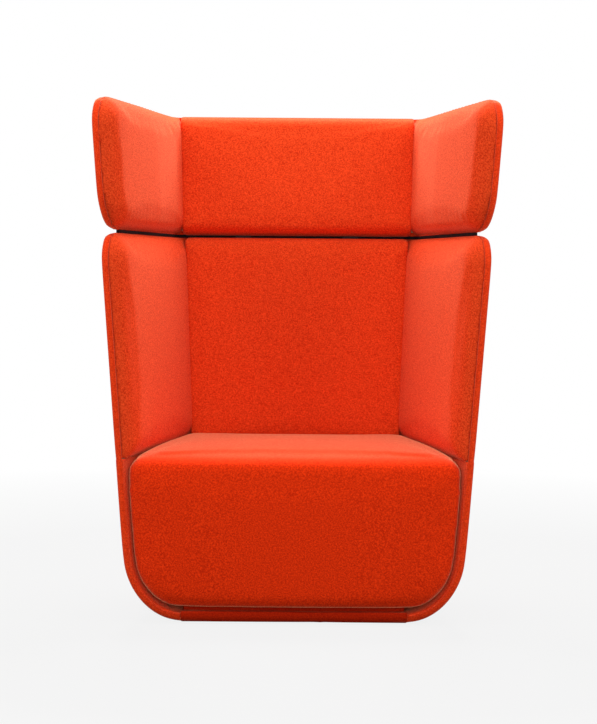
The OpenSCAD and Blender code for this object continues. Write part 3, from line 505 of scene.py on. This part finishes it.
def puffed(piece, held, cap, slack):
    """The wool blown out by its foam: a cloth simulation in which the held vertices stay, with
    slack as the share by which the wool is cut too wide and cap as the most that it may move."""
    last_step = 20
    tiny = 1e-9
    before = places(piece)
    sewn = piece.modifiers.new("wool", "CLOTH")
    sewn.settings.quality = 3
    sewn.settings.mass = 0.3
    sewn.settings.vertex_group_mass = grouped(piece, "held", held)
    sewn.settings.use_pressure = True
    sewn.settings.uniform_pressure_force = 4
    sewn.settings.shrink_min = -slack
    sewn.settings.effector_weights.gravity = 0
    sewn.collision_settings.use_collision = False
    sewn.point_cache.frame_start = 1
    sewn.point_cache.frame_end = last_step
    for step in range(1, last_step + 1):
        bpy.context.scene.frame_set(step)
    bpy.ops.object.modifier_apply(modifier="wool")
    moved = places(piece) - before
    length = np.linalg.norm(moved, axis=1, keepdims=True)
    share = np.where(length > tiny, cap * np.tanh(length / cap) / np.maximum(length, tiny), 0)
    moved_to(piece, before + moved * share)
    piece.vertex_groups.clear()


def tucked(piece, outward, height, depth):
    """Rounds the face of the piece off toward its lower edge."""
    rear_facing = -0.3
    spots = places(piece)
    share = np.clip(1 - (spots[:, 2] - spots[:, 2].min()) / height, 0, 1) ** 2
    facing = normals(piece) @ np.array(outward) > rear_facing
    moved_to(piece, spots - np.outer(share * facing * depth, outward))


def pad(name, node, outward, softness, slack, tuck=0, widening=0):
    """A pad whose face swells between its seams. Its softness is the passes of smoothing that
    round its front edge, and its widening is how far it reaches further out at the back."""
    skin_t = 0.0008
    edge_facing = 0.15
    widening_reach = 0.25
    piece = copied(node, name, pad_wool)
    bpy.ops.object.mode_set(mode="EDIT")
    quads(sharp_deg=50)
    bpy.ops.object.mode_set(mode="OBJECT")
    rounded(piece, levels=2)
    even_mesh(piece, voxel=0.006, smoothing=3)
    grown(piece, skin_t)
    held = normals(piece) @ np.array(outward) < edge_facing
    smoothed(piece, softness, ~held)
    puffed(piece, held, cap=0.003, slack=slack)
    smoothed(piece, 2 + softness // 5, ~held)
    if tuck:
        tucked(piece, outward, height=0.03, depth=tuck)
    for v in piece.data.vertices:
        v.co.x += math.copysign(widening, v.co.x) * eased(v.co.y, 0, widening_reach)
    bpy.ops.object.shade_smooth()
    placed(piece, node)
    return piece


from_left, from_right = (1, -0.2, 0), (-1, -0.2, 0)
# A paler copy of the same wool, as painted light where light falls strongly on the hood and pads.
pad_wool = wool("pad_wool", (0.56, 0.024, 0.004), (0.92, 0.088, 0.018), sheen=0.25)
pad("pad_left", "side_pad_left", from_left, softness=80, slack=0.01)
pad("pad_right", "side_pad_right", from_right, softness=80, slack=0.01)
pad("pad_back", "back_pad", to_front, softness=8, slack=0.005)

# Seat cover
# Felted wool over the foam, pulled down over the block and stapled under the seat frame. Only
# the outer skin of its CAD solid is taken, and it is closed below.
# A deeper, more saturated copy of the same wool, as painted shade on the seat's front face.
seat_wool = wool("seat_wool", (0.59, 0.016, 0.001), (0.97, 0.049, 0.004), sheen=1.35)
wool_t = 0.003
touch = 0.0001
edge_depth, edge_z = 0.08, 0.34
held_h = 0.01
seat = copied("seat_cover", "seat_wool", seat_wool)
bpy.ops.object.mode_set(mode="EDIT")
bpy.ops.mesh.select_mode(type="FACE")
bpy.ops.mesh.select_all(action="DESELECT")
bpy.ops.object.mode_set(mode="OBJECT")
under = min(v.co.z for v in seat.data.vertices)
for face in seat.data.polygons:
    face.select = all(seat.data.vertices[v].co.z < under + touch for v in face.vertices)
bpy.ops.object.mode_set(mode="EDIT")
bpy.ops.mesh.delete(type="FACE")
bpy.ops.mesh.select_mode(type="VERT")
bpy.ops.mesh.select_all(action="DESELECT")
bpy.ops.object.mode_set(mode="OBJECT")
tip = max(seat.data.vertices, key=lambda v: v.co.z)
below_tip = min((v for v in seat.data.vertices if v != tip),
                key=lambda v: math.hypot(v.co.x - tip.co.x, v.co.y - tip.co.y))
below_tip.select = True
bpy.ops.object.mode_set(mode="EDIT")
bpy.ops.mesh.select_linked()
bpy.ops.mesh.delete(type="VERT")
bpy.ops.mesh.select_mode(type="EDGE")
bpy.ops.mesh.select_all(action="DESELECT")
bpy.ops.mesh.select_non_manifold()
bpy.ops.mesh.edge_face_add()
bpy.ops.mesh.select_all(action="SELECT")
bpy.ops.mesh.normals_make_consistent(inside=False)
quads(sharp_deg=60)
bpy.ops.object.mode_set(mode="OBJECT")
rounded(seat, levels=2)
even_mesh(seat, voxel=0.0075, smoothing=3)
grown(seat, wool_t)
sloped(seat, pull=0)
spots = places(seat)
smoothed(seat, 35, (spots[:, 1] < cad_low[1] + edge_depth) & (spots[:, 2] > edge_z))
puffed(seat, places(seat)[:, 2] < under + held_h, cap=0.003, slack=0.004)
bpy.ops.object.shade_smooth()
placed(seat, "seat_cover")

# Hood carriers
# Two flat steel straps, each held by four bolts, join the plywood of the hood to that of the
# shell; their black is painted shade in the gap. The hood rests on a strip of black felt.
# The straps' black is painted shade: it stands in for the dark of the gap under the hood.
paint = mottled("painted_shade_black", 0.6, [(0.3, (0.004, 0.004, 0.004)), (0.7, (0.009, 0.009, 0.009))],
                scale=300, detail=3)
dress(["hood_straps"], paint)
dress(["strap_bolts"], zinc)
spring_back = 0.0012
strip = cut_piece("felt_strip", "hood_spacer", felt, edge=0.001)
middle = sum(v.co.z for v in strip.data.vertices) / len(strip.data.vertices)
for v in strip.data.vertices:
    v.co.z += math.copysign(spring_back, v.co.z - middle)

# Frame of the hood
# Moulded plywood for the wings and the back, with corner blocks and rails of beech and straps
# of webbing, as in the shell.
dress(["hood_side_panel_left", "hood_side_panel_right", "hood_back_panel"], veneer)
dress(["hood_corner_blocks", "hood_rails"], beech)
stretched_cloth("hood_belts", "hood_webbing", webbing, web_t)

# Hood covers and pads
# Wool over thin foam outside and over thick foam inside, made like those of the shell. The
# lower edges of the pads are tucked back above the gap.
covered("wing_wool_left", "hood_cover_left", shell_wool, to_left)
covered("wing_wool_right", "hood_cover_right", shell_wool, to_right)
covered("hood_back_wool", "hood_back_cover", shell_wool, to_back)
pad("wing_pad_left", "hood_pad_left", from_left, softness=40, slack=0.015, tuck=0.012, widening=0.007)
pad("wing_pad_right", "hood_pad_right", from_right, softness=40, slack=0.015, tuck=0.012,
    widening=0.007)
cushion = pad("hood_back_cushion", "hood_back_pad", to_front, softness=8, slack=0.005, tuck=0.024)
spread = 1.021
for v in cushion.data.vertices:
    v.co.x *= spread

# Floor
# A plain pale floor, which keeps the chair's shadow. It glows white to the camera alone, a
# little less near the chair.
bpy.ops.object.select_all(action="DESELECT")
bpy.ops.mesh.primitive_plane_add(size=60, location=(0, 0, 0))
floor = bpy.context.object
floor.name = "floor"
paper, tree, shader = surface("paper", 0.9)
shader.inputs["Base Color"].default_value = (0.2, 0.2, 0.2, 1)
shader.inputs["Specular IOR Level"].default_value = 0
glow = tree.nodes.new("ShaderNodeEmission")
path = tree.nodes.new("ShaderNodeLightPath")
near = tree.nodes.new("ShaderNodeTexGradient")
near.gradient_type = "SPHERICAL"
tree.links.new(stretched(tree, (0.3, 0.3, 0.3)), near.inputs["Vector"])
share = ramp(tree, near.outputs["Fac"], [(0.05, (1, 1, 1)), (0.6, (0.86, 0.86, 0.86))])
seen = tree.nodes.new("ShaderNodeMath")
seen.operation = "MULTIPLY"
tree.links.new(path.outputs["Is Camera Ray"], seen.inputs[0])
tree.links.new(share, seen.inputs[1])
whitened = tree.nodes.new("ShaderNodeMixShader")
tree.links.new(seen.outputs["Value"], whitened.inputs["Fac"])
tree.links.new(shader.outputs["BSDF"], whitened.inputs[1])
tree.links.new(glow.outputs["Emission"], whitened.inputs[2])
tree.links.new(whitened.outputs["Shader"], tree.nodes["Material Output"].inputs["Surface"])
floor.data.materials.append(paper)

# Light
# Soft boxes: one over the front of the chair, a stronger one over its back, a fill in front,
# and at each side one high up and a faint one low down. The world is white only to the camera.
world = bpy.data.worlds.new("studio")
bpy.context.scene.world = world
world.use_nodes = True
sky = world.node_tree
back = sky.nodes["Background"]
white = sky.nodes.new("ShaderNodeBackground")
rays = sky.nodes.new("ShaderNodeLightPath")
mix = sky.nodes.new("ShaderNodeMixShader")
back.inputs["Color"].default_value = (1, 1, 1, 1)
back.inputs["Strength"].default_value = 0.02
white.inputs["Color"].default_value = (1, 1, 1, 1)
white.inputs["Strength"].default_value = 1
sky.links.new(rays.outputs["Is Camera Ray"], mix.inputs[0])
sky.links.new(back.outputs["Background"], mix.inputs[1])
sky.links.new(white.outputs["Background"], mix.inputs[2])
sky.links.new(mix.outputs["Shader"], sky.nodes["World Output"].inputs["Surface"])


def soft_box(name, place, aim, size, power):
    light = bpy.data.lights.new(name, "AREA")
    light.shape = "SQUARE"
    light.size = size
    light.energy = power
    lamp = bpy.data.objects.new(name, light)
    bpy.context.collection.objects.link(lamp)
    lamp.location = place
    lamp.rotation_euler = (Vector(aim) - Vector(place)).to_track_quat("-Z", "Y").to_euler()


soft_box("overhead", (0, -1.2, 3.6), aim=(0, 0, 0.7), size=2.4, power=40)
soft_box("overhead_rear", (0, 1.5, 3.2), aim=(0, 0, 0.9), size=1.8, power=220)
soft_box("front_fill", (0, -3.6, 0.9), aim=(0, 0, 0.5), size=2, power=41)
for side in (-1, 1):
    soft_box("side_box", (side * 2.4, -1.3, 2.9), aim=(0, 0, 0.8), size=1.6, power=42)
    soft_box("edge_light", (side * 2.6, -0.55, 0.5), aim=(0, -0.3, 0.3), size=0.8, power=9)

# Camera
# At the photograph's angle: level, 4.4 m in front of the shell, with its horizon high on the
# seat back. Pixels are those of the photograph's frame, 597 by 724.
frame_w, frame_h = 597, 724
focal_px = 1738
horizon_px = 271.3
middle_px = 296.5
distance = 4.4
eye_z = 0.896
roll = math.radians(0.45)
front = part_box("side_cover_left")[0][1]
lens = bpy.data.cameras.new("camera")
lens.sensor_width = 36
lens.lens = lens.sensor_width * focal_px / frame_h
lens.shift_x = (frame_w / 2 - middle_px) / frame_h
lens.shift_y = (horizon_px - frame_h / 2) / frame_h
camera = bpy.data.objects.new("camera", lens)
bpy.context.collection.objects.link(camera)
camera.matrix_world = (Matrix.Translation(Vector((0, front - distance, eye_z)))
                       @ Matrix.Rotation(math.radians(90), 4, "X") @ Matrix.Rotation(roll, 4, "Z"))
bpy.context.scene.camera = camera
bpy.context.scene.view_settings.view_transform = "Standard"
